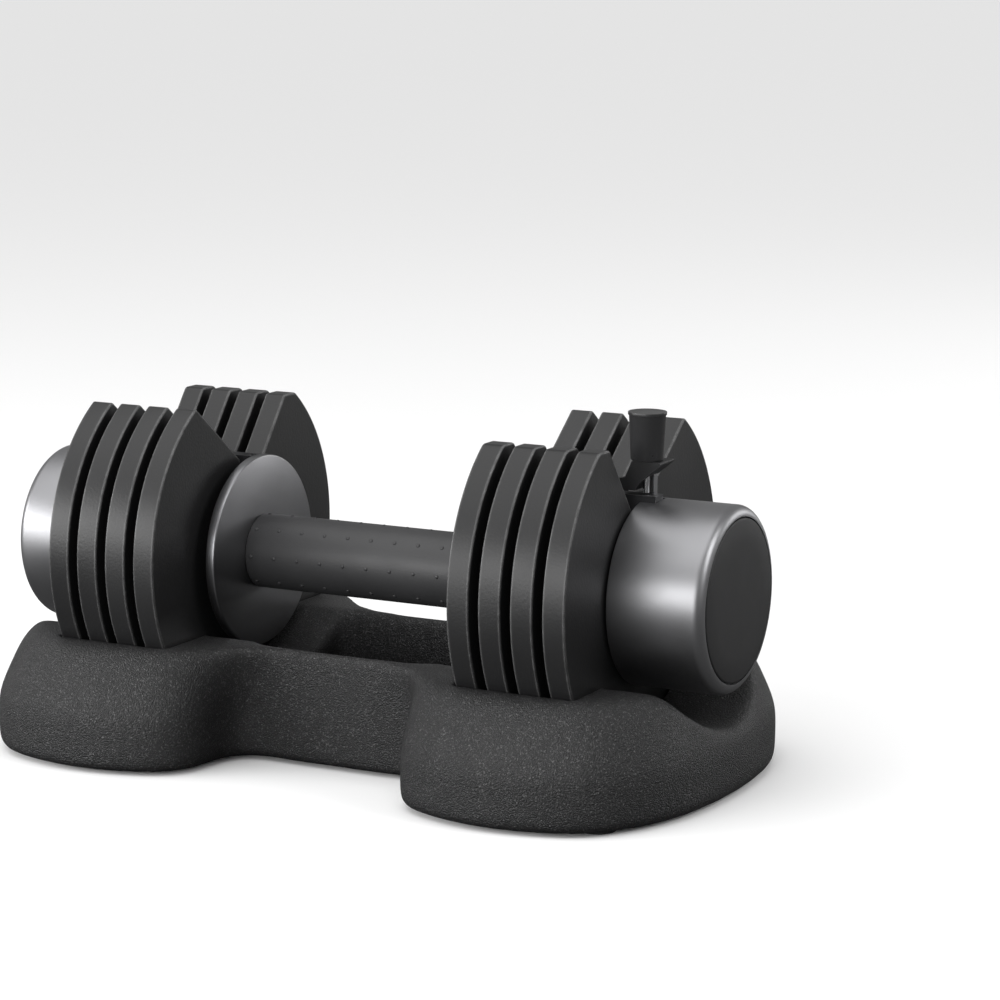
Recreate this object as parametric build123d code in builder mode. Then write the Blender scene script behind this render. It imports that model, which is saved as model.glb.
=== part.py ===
from build123d import *
from math import ceil, cos, pi, radians, sin, tan
import os

# Adjustable dumbbell resting on its storage tray.
# Frame: the origin is on the floor under the middle of the handle, +X runs along the handle towards
# the end that carries the pull knob, +Y points to the side of the selector bar on that end, +Z is up.
# The left half is the right half turned half round about Z. All sizes are in millimetres.

# Driving dimensions of the dumbbell
axis_height = 86.0  # the handle's centre line above the floor
grip_length = 125.6  # between the faces of the two inner discs
grip_radius = 17.0
sleeve_thickness = 2.0
tube_wall = 2.0
disc_radius = 43.9
disc_thickness = 4.6

plate_count = 4  # on each side
plate_thickness = 10.24
plate_gap = 4.62  # between two plates
disc_gap = 5.5  # from the inner disc to the first plate
plate_radius = 78.8
plate_rise = 2.5  # the centre of the plate's round outline above the handle's centre line
plate_drop = 74.0  # from the handle's centre line down to the plate's flat foot
plate_edge = 0.5  # chamfer round both faces

# The lopsided slot in each plate: heights are above the handle's centre line
narrow_horn_top = 66.4
narrow_mouth = 36.5  # from the centre line out to the narrow horn's flat top
narrow_slope = 52.0  # degrees above the level, on the narrow horn's side
wide_slope = 37.2  # degrees, on the side that runs out to the wide horn's tip
wide_slope_foot = 41.8  # where the wide side meets the channel
channel_narrow_side = 8.0
channel_wide_side = 4.0
channel_drop = 32.0
horn_fillet = 2.5

end_radius = 40.8
end_length = 43.5
end_gap = 0.8  # from the last plate to the end weight
end_fillet = 5.5
end_floor = 12.0  # thickness of the end weight's solid inner part
end_cavity_radius = 33.0
insert_radius = 35.5
insert_groove = 0.5
insert_seat = 3.0  # depth of the insert's seat
insert_proud = 0.6
insert_spigot = 3.0
insert_spigot_wall = 2.0

# Rail, selector bars and their drive
rail_top = 43.0
rail_drop = 30.0
rail_post_gap = 0.3  # from the centre line to the rail's thin part, and to the post
rail_step = 8.0  # the rail is wide below this depth
rail_tenon = 7.7  # how far the rail reaches into the end weight
bar_inner = 4.5  # the bar's two faces, measured from the centre line
bar_outer = 10.5
bar_half_height = 5.2
post_thickness = 3.4
post_top = 54.5
gear_teeth = 10
gear_pitch_radius = 4.5
tooth_height = 0.8  # tip to pitch line, on the pinion and on the rack
tooth_depth = 1.15  # pitch line to root
tooth_tip_half = 0.20
tooth_root_half = 0.80
gear_half_height = 5.1
axle_radius = 1.5
axle_recess = 0.3  # the axle's ends below the tube's outer surface
carrier_half_length = 9.0
guide_length = 9.4

# Knob and pull pin, over the selector bar's post
pin_offset = -4.0  # Y of the pin
pin_radius = 1.5
pin_tip_height = 43.4  # the pin's lower end above the handle's centre line
detent_radius = 1.7
detent_depth = 4.0
knob_bottom_radius = 6.9
knob_top_radius = 7.9
knob_rim_radius = 8.3
knob_rim = 1.4
knob_height = 20.7
knob_roof = 5.6
knob_pin_depth = 3.8
knob_gap = 0.3
carriage_top = 57.8
carriage_front = 9.0  # from the centre line, on the pin's side
carriage_back = 5.2
neck_radius = 4.0
neck_height = 10.2
neck_bore = 2.8
spring_cap_height = 1.2
spring_floor = 53.2  # the lower end of the spring's pocket
spring_radius = 2.15
spring_wire = 0.3
spring_turns = 9
ring_radius = 2.6
ring_thickness = 0.8
post_screw_radius = 1.0
post_screw_head = 2.0
post_screw_height = 52.8
stop_screw_radius = 1.1
stop_screw_length = 5.2
stop_screw_setback = 5.8  # from the pin towards the handle

bolt_radius = 2.0
bolt_head_radius = 3.5
bolt_head_height = 4.0
bolt_socket_radius = 1.6
bolt_socket_depth = 2.0
bolt_reach = 15.0  # thread length inside the rail
bolt_heights = (22.0, -20.0)

spacer_radius = 7.0
spacer_spots = ((-30.0, -10.0), (30.0, -10.0))

# Tray
foot_protrusion = 0.8
foot_radius = 8.0
foot_thickness = 2.3
foot_end_reach = 42.0  # from the plates' middle out to the outer feet
foot_waist_reach = 28.0
foot_edge = 28.0  # from the lobe's crown in to the feet
foot_rounding = 4.5  # round the tray's bottom edge
rim_inset = 14.0  # how far the ends lean in from the band to the rim
side_lean = 1.7  # the lobes' crowns lean in this many times as far
# Heights of the wall's sections and how far each is drawn in; the band below the first is upright
wall_steps = ((20.0, 0.0), (33.0, 2.6), (43.0, 6.2), (50.0, 9.8), (53.0, rim_inset))
side_wall = 24.7  # from the plates out to the lobe's crown
inboard_wall = 22.2  # from the plates' well in to the lobe's inner side
end_wall = 2.5  # from the end weight's face out to the tray's end
waist_wall = 7.4
waist_lean = 1.4
waist_flat = (4, 8)  # distances from the middle where the waist's outline still runs straight
# Outline of a lobe's inner flank: distance from its inner side and share of the step out from the
# waist, first at the band and then at the rim
flank_band = ((-24.0, 0.0), (-6.0, 0.03), (0.0, 0.22), (1.5, 0.47), (7.0, 0.72), (24.0, 0.91))
flank_rim = ((-30.0, 0.03), (-16.0, 0.14), (-5.0, 0.34), (5.0, 0.55), (15.0, 0.75), (30.0, 0.93))
# Outline of a lobe's outer end, as shares of its length from the crown and of its depth
lobe_end = ((0.33, 0.971), (0.62, 0.878), (0.81, 0.70), (0.935, 0.463), (0.985, 0.213))
trough_half_depth = 40.0
trough_end_wall = 27.4  # from the trough to the plates' well
trough_floor = 14.0
trough_fillet = 8.0
saddle_gap = 6.1  # from the inner disc down to the tray
scoop_gap = 14.2  # from the end weight down to the tray
well_gap = 1.5  # beside and round the plates
well_floor_gap = 0.4  # below the plates
rib_gap = 1.0  # from a separator rib to the plates beside it
rib_rise = 16.0  # the ribs' top above the well's floor

# Clearances
slip = 0.05  # between a pin and its hole
bar_slip = 0.3  # round the selector bars
rail_side_slip = 0.3  # between the rail and the plates' channel
notch_slip = 0.9  # between the selector bar and the plates' notch

# Stations along the handle
disc_inner = grip_length / 2
disc_outer = disc_inner + disc_thickness
plate_start = disc_outer + disc_gap
plate_pitch = plate_thickness + plate_gap
plates_end = plate_start + plate_count * plate_pitch - plate_gap
end_start = plates_end + end_gap
end_face = end_start + end_length
insert_start = end_face - insert_seat
rail_end = end_start + rail_tenon
tube_radius = grip_radius - sleeve_thickness
tube_bore = tube_radius - tube_wall
tip_centre = plates_end + plate_gap / 2
stops = [tip_centre - number * plate_pitch for number in range(plate_count + 1)]
bar_tip = tip_centre + post_thickness / 2
well_start = plate_start - well_gap
well_end = plates_end + well_gap
plates_middle = (plate_start + plates_end) / 2
tray_end = end_face + end_wall

# The rack: the teeth needed to keep in mesh from the first stop to the last
tooth_pitch = 2 * pi * gear_pitch_radius / gear_teeth
rack_travel = stops[0] - stops[-1]
rack_last = ceil(rack_travel / tooth_pitch) + 1
rack_start = -tooth_pitch - tooth_root_half - 1.0
rack_end = rack_last * tooth_pitch + tooth_root_half + 1.0
rack_root = gear_pitch_radius + tooth_depth


def block(low, high, mode=Mode.ADD):
    """A box from its lowest corner to its highest."""
    middle = tuple((a + b) / 2 for a, b in zip(low, high))
    with Locations(middle):
        Box(high[0] - low[0], high[1] - low[1], high[2] - low[2], mode=mode)


def rod(start, end, radius, y=0.0, height=0.0, mode=Mode.ADD):
    """A cylinder along the handle; height is measured from the handle's centre line."""
    along = (Align.CENTER, Align.CENTER, Align.MIN)
    with Locations((start, y, axis_height + height)):
        Cylinder(radius, end - start, rotation=(0, 90, 0), align=along, mode=mode)


def post(low, high, radius, x=0.0, y=0.0, mode=Mode.ADD):
    """An upright cylinder between two heights above the handle's centre line."""
    along = (Align.CENTER, Align.CENTER, Align.MIN)
    with Locations((x, y, axis_height + low)):
        Cylinder(radius, high - low, align=along, mode=mode)


def save(part, name):
    os.makedirs("parts", exist_ok=True)
    part.label = name
    export_step(part, f"parts/{name}.step")


def save_both_sides(part, name, ending=""):
    """Write the right-hand piece and its copy turned half round for the left-hand end."""
    save(part, f"{name}_right{ending}")
    with BuildPart() as copy:
        add(part, rotation=(0, 0, 180))
    save(copy.part, f"{name}_left{ending}")


def tray_points(inset):
    """Points round the tray's outline, drawn in by inset, as one closed loop from the waist's middle."""
    lean = inset / rim_inset
    waist = trough_half_depth + waist_wall - waist_lean * lean
    depth = plate_radius + side_wall - side_lean * inset
    reach = tray_end - plates_middle - inset
    quarter = [(x, waist) for x in waist_flat]
    for (low_x, low_share), (high_x, high_share) in zip(flank_band, flank_rim):
        x = well_start - inboard_wall + low_x + (high_x - low_x) * lean
        share = low_share + (high_share - low_share) * lean
        quarter.append((x, waist + (depth - waist) * share))
    quarter.append((plates_middle, depth))
    quarter += [(plates_middle + reach * along, depth * deep) for along, deep in lobe_end]
    half = quarter + [(tray_end - inset, 0)] + [(x, -y) for x, y in reversed(quarter)]
    return [(0, waist)] + half + [(0, -waist)] + [(-x, -y) for x, y in half]


# Tray: one moulding with two lobes and a waist, wells for the plates and a trough for the fingers
plate_centre = axis_height + plate_rise
well_floor = axis_height - plate_drop - well_floor_gap
trough_half_length = well_start - trough_end_wall
foot_spots = [(side * (plates_middle + reach), front * (plate_radius + side_wall - foot_edge))
              for side in (-1, 1) for reach in (-foot_waist_reach, foot_end_reach) for front in (-1, 1)]
with BuildPart() as tray:
    with BuildSketch(Plane.XY.offset(foot_protrusion)):
        with BuildLine():
            Spline(*tray_points(0), periodic=True)
        make_face()
    extrude(amount=wall_steps[0][0] - foot_protrusion)
    for height, inset in wall_steps:
        with BuildSketch(Plane.XY.offset(height)):
            with BuildLine():
                Spline(*tray_points(inset), periodic=True)
            make_face()
    loft()
    fillet(tray.edges().group_by(Axis.Z)[0], foot_rounding)
    # the trough under the grip
    with BuildSketch(Plane.XY.offset(trough_floor)):
        RectangleRounded(2 * trough_half_length, 2 * trough_half_depth, trough_fillet)
    extrude(amount=axis_height, mode=Mode.SUBTRACT)
    for side in (-1, 1):
        inner, outer = sorted((side * trough_half_length, side * well_start))
        rod(inner, outer, disc_radius + saddle_gap, mode=Mode.SUBTRACT)
        near, far = sorted((side * well_end, side * 2 * tray_end))
        rod(near, far, end_radius + scoop_gap, mode=Mode.SUBTRACT)
        # the well, round like the plates and flat below them
        near, far = sorted((side * well_start, side * well_end))
        with BuildSketch(Plane.YZ.offset(near)):
            with Locations((0, plate_centre)):
                Circle(plate_radius + well_gap)
            with Locations((0, well_floor)):
                Rectangle(4 * plate_radius, plate_radius, align=(Align.CENTER, Align.MAX),
                          mode=Mode.SUBTRACT)
        extrude(amount=far - near, mode=Mode.SUBTRACT)
        # separator ribs between the plates
        for number in range(1, plate_count):
            middle = side * (plate_start + number * plate_pitch - plate_gap / 2)
            half = plate_gap / 2 - rib_gap
            with BuildSketch(Plane.YZ.offset(middle - half)):
                with Locations((0, plate_centre)):
                    Circle(plate_radius + 2 * well_gap)
                with Locations((0, well_floor + rib_rise)):
                    Rectangle(4 * plate_radius, 4 * plate_radius, align=(Align.CENTER, Align.MIN),
                              mode=Mode.SUBTRACT)
                with Locations((0, well_floor - well_floor_gap)):
                    Rectangle(4 * plate_radius, plate_radius, align=(Align.CENTER, Align.MAX),
                              mode=Mode.SUBTRACT)
            extrude(amount=2 * half)
    # seats for the rubber feet
    with BuildSketch(Plane.XY.offset(foot_protrusion)):
        with Locations(*foot_spots):
            Circle(foot_radius)
    extrude(amount=foot_thickness - foot_protrusion, mode=Mode.SUBTRACT)
save(tray.part, "tray")

with BuildPart() as tray_feet:
    with BuildSketch(Plane.XY):
        with Locations(*foot_spots):
            Circle(foot_radius)
    extrude(amount=foot_thickness)
save(tray_feet.part, "tray_feet")

# Handle: a steel tube right through both discs, with a rubber sleeve over its middle
with BuildPart() as handle_tube:
    rod(-disc_outer, disc_outer, tube_radius)
    rod(-disc_outer, disc_outer, tube_bore, mode=Mode.SUBTRACT)
    post(-tube_radius, tube_radius, axle_radius + slip, mode=Mode.SUBTRACT)
save(handle_tube.part, "handle_tube")

with BuildPart() as grip_sleeve:
    rod(-disc_inner, disc_inner, grip_radius)
    rod(-disc_inner, disc_inner, tube_radius, mode=Mode.SUBTRACT)
save(grip_sleeve.part, "grip_sleeve")

with BuildPart() as inner_disc:
    rod(disc_inner, disc_outer, disc_radius)
    fillet(inner_disc.edges().filter_by(GeomType.CIRCLE), 0.8)
    rod(disc_inner, disc_outer, tube_radius, mode=Mode.SUBTRACT)
save_both_sides(inner_disc.part, "inner_disc")

# Guide at each end of the tube, slotted for both bars
with BuildPart() as bar_guide:
    rod(disc_outer - guide_length, disc_outer, tube_bore)
    slot_inner = gear_pitch_radius - tooth_height - bar_slip
    slot_outer = bar_outer + bar_slip
    slot_half = bar_half_height + bar_slip
    for front in (-1, 1):
        near, far = sorted((front * slot_inner, front * slot_outer))
        block((disc_outer - guide_length, near, axis_height - slot_half),
              (disc_outer, far, axis_height + slot_half), mode=Mode.SUBTRACT)
save_both_sides(bar_guide.part, "bar_guide")

# Gear carriers above and below the pinion, pinned to the tube by the pinion's axle
for name, way in (("gear_carrier_top", 1), ("gear_carrier_bottom", -1)):
    with BuildPart() as gear_carrier:
        rod(-carrier_half_length, carrier_half_length, tube_bore)
        keep = axis_height + way * (bar_half_height + bar_slip)
        low, high = sorted((keep, axis_height - way * 2 * tube_bore))
        block((-tube_bore, -tube_bore, low), (tube_bore, tube_bore, high), mode=Mode.SUBTRACT)
        post(-tube_radius, tube_radius, axle_radius + slip, mode=Mode.SUBTRACT)
    save(gear_carrier.part, name)

with BuildPart() as pinion_axle:
    post(-tube_radius + axle_recess, tube_radius - axle_recess, axle_radius)
    chamfer(pinion_axle.edges().filter_by(GeomType.CIRCLE), 0.2)
save(pinion_axle.part, "pinion_axle")

# Pinion: straight-sided teeth, with a gap facing each rack at rest
with BuildPart() as pinion:
    with BuildSketch(Plane.XY.offset(axis_height - gear_half_height)):
        Circle(gear_pitch_radius - tooth_depth)
        with PolarLocations(gear_pitch_radius, gear_teeth, start_angle=90 + 180 / gear_teeth):
            Polygon((-tooth_depth - 0.2, -tooth_root_half), (tooth_height, -tooth_tip_half),
                    (tooth_height, tooth_tip_half), (-tooth_depth - 0.2, tooth_root_half), align=None)
        Circle(axle_radius + slip, mode=Mode.SUBTRACT)
    extrude(amount=2 * gear_half_height)
save(pinion.part, "pinion")

# Selector bar: a rack inside the tube, a plain bar under the plates' lips, and on the right-hand end
# a post that rises through the plates' channel to the carriage
with BuildPart() as selector_bar:
    with BuildSketch(Plane.XY.offset(axis_height - bar_half_height)):
        with BuildLine():
            Polyline((rack_start, rack_root), (rack_end, rack_root), (rack_end, bar_inner),
                     (bar_tip, bar_inner), (bar_tip, bar_outer), (rack_start, bar_outer), close=True)
        make_face()
        teeth = [(number * tooth_pitch, gear_pitch_radius) for number in range(-1, rack_last + 1)]
        with Locations(*teeth):
            Polygon((-tooth_root_half, tooth_depth), (-tooth_tip_half, -tooth_height),
                    (tooth_tip_half, -tooth_height), (tooth_root_half, tooth_depth), align=None)
    extrude(amount=2 * bar_half_height)
with BuildPart() as selector_bar_left:
    add(selector_bar.part, rotation=(0, 0, 180))
save(selector_bar_left.part, "selector_bar_left")

post_start = bar_tip - post_thickness
post_outer = channel_wide_side - rail_post_gap
with BuildPart() as selector_bar_right:
    add(selector_bar.part)
    block((post_start, rail_post_gap, axis_height - bar_half_height),
          (bar_tip, bar_inner, axis_height + bar_half_height))
    block((post_start, rail_post_gap, axis_height),
          (bar_tip, post_outer, axis_height + post_top))
save(selector_bar_right.part, "selector_bar_right")

# Core rail: fills the plates' channel below the bar and leaves room for the post above it
rail_front = channel_narrow_side - rail_side_slip
rail_back = channel_wide_side - rail_side_slip
with BuildPart() as core_rail:
    with BuildSketch(Plane.YZ.offset(disc_outer)):
        with Locations((0, axis_height)):
            Polygon((-rail_front, -rail_drop), (rail_back, -rail_drop), (rail_back, -rail_step),
                    (-rail_post_gap, -rail_step), (-rail_post_gap, rail_top), (-rail_front, rail_top),
                    align=None)
    extrude(amount=rail_end - disc_outer)
    for stop in stops:
        post(rail_top - detent_depth, rail_top, detent_radius, stop, pin_offset, Mode.SUBTRACT)
    for height in bolt_heights:
        rod(rail_end - bolt_reach, rail_end, bolt_radius + slip, pin_offset, height, Mode.SUBTRACT)
save_both_sides(core_rail.part, "core_rail")

# Plates: round, flat-footed, open at the top, with a notch for the selector bar beside the channel
narrow_fall = (narrow_mouth - channel_narrow_side) * tan(radians(narrow_slope))
wide_climb = (plate_radius - channel_wide_side) * tan(radians(wide_slope))
for number in range(1, plate_count + 1):
    with BuildPart() as plate:
        with BuildSketch(Plane.YZ.offset(plate_start + (number - 1) * plate_pitch)) as outline:
            with Locations((0, plate_centre)):
                Circle(plate_radius)
            with Locations((0, axis_height - plate_drop)):
                Rectangle(4 * plate_radius, plate_radius, align=(Align.CENTER, Align.MAX),
                          mode=Mode.SUBTRACT)
            with Locations((0, axis_height)):
                Polygon((-plate_radius, narrow_horn_top), (-narrow_mouth, narrow_horn_top),
                        (-channel_narrow_side, narrow_horn_top - narrow_fall),
                        (-channel_narrow_side, -channel_drop), (channel_wide_side, -channel_drop),
                        (channel_wide_side, wide_slope_foot),
                        (plate_radius, wide_slope_foot + wide_climb), (plate_radius, 2 * plate_radius),
                        (-plate_radius, 2 * plate_radius), align=None, mode=Mode.SUBTRACT)
            horns = [v for v in outline.vertices() if v.Y > axis_height + narrow_horn_top - 1]
            fillet(horns, horn_fillet)
            with Locations((channel_wide_side, axis_height)):
                Rectangle(bar_outer + notch_slip - channel_wide_side, 2 * (bar_half_height + notch_slip),
                          align=(Align.MIN, Align.CENTER), mode=Mode.SUBTRACT)
        extrude(amount=plate_thickness)
        chamfer(plate.faces().filter_by(Axis.X).edges(), plate_edge)
    save_both_sides(plate.part, "plate", f"_{number}")

# Spacers on the plates' outer faces, which keep the gaps between them
with BuildPart() as plate_spacers:
    for number in range(1, plate_count):
        start = plate_start + number * plate_pitch - plate_gap
        for y, height in spacer_spots:
            rod(start, start + plate_gap - bar_slip, spacer_radius, y, height)
save_both_sides(plate_spacers.part, "plate_spacers")

# End weight: a thick cup, open outwards, with a mortise for the rail and a groove for the post
mortise_front = rail_front + slip
mortise_back = rail_back + slip
groove_floor = bar_tip + bar_slip
with BuildPart() as end_weight:
    rod(end_start, end_face, end_radius)
    fillet(end_weight.edges().filter_by(GeomType.CIRCLE).sort_by(Axis.X)[-1], end_fillet)
    rod(end_start + end_floor, end_face, end_cavity_radius, mode=Mode.SUBTRACT)
    rod(insert_start, end_face, insert_radius + insert_groove, mode=Mode.SUBTRACT)
    block((end_start, -mortise_front, axis_height - rail_drop - slip),
          (rail_end, -rail_post_gap + slip, axis_height + end_radius), mode=Mode.SUBTRACT)
    block((end_start, -mortise_front, axis_height - rail_drop - slip),
          (rail_end, mortise_back, axis_height - rail_step + slip), mode=Mode.SUBTRACT)
    block((end_start, -rail_post_gap, axis_height - bar_half_height - bar_slip),
          (groove_floor, channel_wide_side, axis_height + end_radius), mode=Mode.SUBTRACT)
    block((end_start, 0, axis_height - bar_half_height - bar_slip),
          (groove_floor, bar_outer + bar_slip, axis_height + bar_half_height + bar_slip),
          mode=Mode.SUBTRACT)
    for height in bolt_heights:
        rod(rail_end, end_start + end_floor, bolt_radius + slip, pin_offset, height, Mode.SUBTRACT)
save_both_sides(end_weight.part, "end_weight")

with BuildPart() as end_insert:
    rod(insert_start, end_face + insert_proud, insert_radius)
    fillet(end_insert.edges().filter_by(GeomType.CIRCLE).sort_by(Axis.X)[-1], insert_proud)
    rod(insert_start - insert_spigot, insert_start, end_cavity_radius - slip)
    rod(insert_start - insert_spigot, insert_start, end_cavity_radius - slip - insert_spigot_wall,
        mode=Mode.SUBTRACT)
save_both_sides(end_insert.part, "end_insert")

# Bolts from the cup's floor into the rail
bolt_seat = end_start + end_floor
with BuildPart() as end_bolts:
    for height in bolt_heights:
        rod(rail_end - bolt_reach + 1, bolt_seat, bolt_radius, pin_offset, height)
        rod(bolt_seat, bolt_seat + bolt_head_height, bolt_head_radius, pin_offset, height)
        hex_plane = Plane.YZ.offset(bolt_seat + bolt_head_height - bolt_socket_depth)
        with BuildSketch(hex_plane):
            with Locations((pin_offset, axis_height + height)):
                RegularPolygon(bolt_socket_radius, 6)
        extrude(amount=bolt_socket_depth, mode=Mode.SUBTRACT)
save_both_sides(end_bolts.part, "end_bolts")

# Carriage: a wedge on top of the post, with a neck that holds the spring inside the knob
lug = [(8.5, 0.0), (8.5, -1.2), (2.0, -6.4), (-0.5, -8.8), (-2.5, -11.3), (-3.0, -12.8),
       (-8.7, -12.8), (-10.6, -10.6), (-10.6, -7.8), (-7.8, -7.3), (-4.8, 0.0)]
with BuildPart() as carriage:
    with BuildSketch(Plane.XZ.offset(-carriage_back)):
        with Locations((tip_centre, axis_height + carriage_top)):
            Polygon(*lug, align=None)
    extrude(amount=carriage_back + carriage_front)
    fillet(carriage.edges().filter_by(Axis.Y), 0.5)
    post(carriage_top, carriage_top + neck_height, neck_radius, tip_centre, pin_offset)
    post(spring_floor, carriage_top + neck_height, neck_bore, tip_centre, pin_offset, Mode.SUBTRACT)
    post(0, spring_floor, pin_radius + slip, tip_centre, pin_offset, Mode.SUBTRACT)
    block((post_start, rail_post_gap, axis_height), (bar_tip, post_outer, axis_height + post_top),
          mode=Mode.SUBTRACT)
    screw_plane = Plane.XZ.offset(-carriage_back)
    with BuildSketch(screw_plane):
        with Locations((tip_centre, axis_height + post_screw_height)):
            Circle(post_screw_radius)
    extrude(amount=carriage_back - post_outer, mode=Mode.SUBTRACT)
    stop_screw_x = tip_centre - stop_screw_setback
    stop_screw_low = carriage_top + lug[5][1] - 0.7
    post(stop_screw_low, stop_screw_low + stop_screw_length, stop_screw_radius, stop_screw_x,
         pin_offset, Mode.SUBTRACT)
save(carriage.part, "carriage")

with BuildPart() as spring_cap:
    cap_low = carriage_top + neck_height - spring_cap_height
    post(cap_low, carriage_top + neck_height, neck_bore, tip_centre, pin_offset)
    post(cap_low, carriage_top + neck_height, pin_radius + slip, tip_centre, pin_offset, Mode.SUBTRACT)
save(spring_cap.part, "spring_cap")

with BuildPart() as post_screw:
    with BuildSketch(Plane.XZ.offset(-carriage_back)):
        with Locations((tip_centre, axis_height + post_screw_height)):
            Circle(post_screw_radius)
    extrude(amount=carriage_back - post_outer)
    with BuildSketch(Plane.XZ.offset(-carriage_back - post_screw_radius)):
        with Locations((tip_centre, axis_height + post_screw_height)):
            Circle(post_screw_head)
    extrude(amount=post_screw_radius)
save(post_screw.part, "post_screw")

with BuildPart() as stop_screw:
    post(stop_screw_low, stop_screw_low + stop_screw_length, stop_screw_radius, stop_screw_x, pin_offset)
    chamfer(stop_screw.edges().filter_by(GeomType.CIRCLE).sort_by(Axis.Z)[0], 0.3)
save(stop_screw.part, "stop_screw")

# Pull pin, its retaining ring, its spring and the knob
ring_low = spring_floor + slip
with BuildPart() as retaining_ring:
    post(ring_low, ring_low + ring_thickness, ring_radius, tip_centre, pin_offset)
    post(ring_low, ring_low + ring_thickness, pin_radius, tip_centre, pin_offset, Mode.SUBTRACT)
save(retaining_ring.part, "retaining_ring")

knob_low = carriage_top + knob_gap
knob_top = knob_low + knob_height
with BuildPart() as pull_pin:
    post(pin_tip_height, knob_top - knob_roof + knob_pin_depth, pin_radius, tip_centre, pin_offset)
    chamfer(pull_pin.edges().filter_by(GeomType.CIRCLE).sort_by(Axis.Z)[0], 0.4)
save(pull_pin.part, "pull_pin")

spring_low = ring_low + ring_thickness + spring_wire
spring_high = cap_low - spring_wire
with BuildPart() as pin_spring:
    with BuildLine() as coil:
        Helix(pitch=(spring_high - spring_low) / spring_turns, height=spring_high - spring_low,
              radius=spring_radius, center=(tip_centre, pin_offset, axis_height + spring_low))
    with BuildSketch(Plane(origin=coil.line @ 0, z_dir=coil.line % 0)):
        Circle(spring_wire)
    sweep(is_frenet=True)
save(pin_spring.part, "pin_spring")

with BuildPart() as knob:
    with BuildSketch(Plane.XZ.offset(-pin_offset)) as section:
        with Locations((tip_centre, axis_height + knob_low)):
            Polygon((0, 0), (knob_bottom_radius, 0), (knob_top_radius, knob_height - knob_rim),
                    (knob_rim_radius, knob_height - knob_rim), (knob_rim_radius, knob_height),
                    (0, knob_height), align=None)
        fillet(section.vertices().group_by(Axis.Y)[-1].sort_by(Axis.X)[-1], 0.5)
    revolve(axis=Axis((tip_centre, pin_offset, 0), (0, 0, 1)))
    post(knob_low, knob_top - knob_roof, neck_radius + bar_slip, tip_centre, pin_offset, Mode.SUBTRACT)
    post(knob_top - knob_roof, knob_top - knob_roof + knob_pin_depth, pin_radius, tip_centre,
         pin_offset, Mode.SUBTRACT)
save(knob.part, "knob")
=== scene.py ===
import math

import bmesh
import bpy
from mathutils import Matrix, Vector


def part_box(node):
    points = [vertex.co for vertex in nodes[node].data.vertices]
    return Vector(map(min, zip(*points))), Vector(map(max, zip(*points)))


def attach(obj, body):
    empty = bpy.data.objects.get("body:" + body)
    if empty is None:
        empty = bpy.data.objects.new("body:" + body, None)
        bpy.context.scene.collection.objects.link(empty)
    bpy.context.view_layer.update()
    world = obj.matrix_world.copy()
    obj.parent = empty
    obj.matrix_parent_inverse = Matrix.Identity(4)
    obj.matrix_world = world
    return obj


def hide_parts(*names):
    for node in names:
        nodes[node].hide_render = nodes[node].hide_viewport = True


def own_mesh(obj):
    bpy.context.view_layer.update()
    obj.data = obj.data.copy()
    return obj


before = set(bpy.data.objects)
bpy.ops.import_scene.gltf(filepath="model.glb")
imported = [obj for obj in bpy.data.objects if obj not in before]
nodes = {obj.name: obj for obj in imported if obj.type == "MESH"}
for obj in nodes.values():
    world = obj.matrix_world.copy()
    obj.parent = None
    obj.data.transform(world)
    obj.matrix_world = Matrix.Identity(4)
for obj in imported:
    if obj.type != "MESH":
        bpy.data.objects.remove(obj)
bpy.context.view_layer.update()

# The camera stands in front and to the right, a little above the handle, with a long lens. The lens
# is shifted so that the dumbbell sits low and to the left in the frame.
grip_low, grip_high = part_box("grip_sleeve")
handle = (grip_low + grip_high) / 2
camera_azimuth = math.radians(28.85)
camera_elevation = math.radians(11.24)
camera_distance = 1.469
back = Vector((math.sin(camera_azimuth) * math.cos(camera_elevation),
               -math.cos(camera_azimuth) * math.cos(camera_elevation),
               math.sin(camera_elevation)))
camera_data = bpy.data.cameras.new("camera")
camera_data.lens = 117.65
camera_data.sensor_width = 36
camera_data.shift_x = 0.1159
camera_data.shift_y = 0.0627
camera = bpy.data.objects.new("camera", camera_data)
camera.location = handle + back * camera_distance
camera.rotation_euler = (-back).to_track_quat("-Z", "Y").to_euler()
bpy.context.collection.objects.link(camera)
bpy.context.scene.camera = camera

# Storage tray: one thick blow-moulded plastic shell with a pebble grain all over its outside. The
# mould rounds every outer edge; the plates' wells and the ribs between them stay crisp.
voxel = 0.0018
smoothing_passes = 16
well_margin = 0.0022


def new_group(name, inputs, outputs):
    """A shader node group with float inputs and outputs; returns its tree and its two end nodes."""
    tree = bpy.data.node_groups.new(name, "ShaderNodeTree")
    for label, value in inputs:
        socket = tree.interface.new_socket(label, in_out="INPUT", socket_type="NodeSocketFloat")
        socket.default_value = value
    for label in outputs:
        tree.interface.new_socket(label, in_out="OUTPUT", socket_type="NodeSocketFloat")
    return tree, tree.nodes.new("NodeGroupInput"), tree.nodes.new("NodeGroupOutput")


def add(tree, kind, settings=None, **values):
    """A node with its settings, and its input values by socket name."""
    node = tree.nodes.new(kind)
    for key, value in (settings or {}).items():
        setattr(node, key, value)
    for key, value in values.items():
        node.inputs[key.replace("_", " ")].default_value = value
    return node


def math_node(tree, operation, first, second=None):
    """A Math node; each operand is a socket or a number."""
    node = tree.nodes.new("ShaderNodeMath")
    node.operation = operation
    for slot, operand in enumerate((first, second)):
        if isinstance(operand, (int, float)):
            node.inputs[slot].default_value = operand
        elif operand is not None:
            tree.links.new(operand, node.inputs[slot])
    return node.outputs[0]


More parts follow.
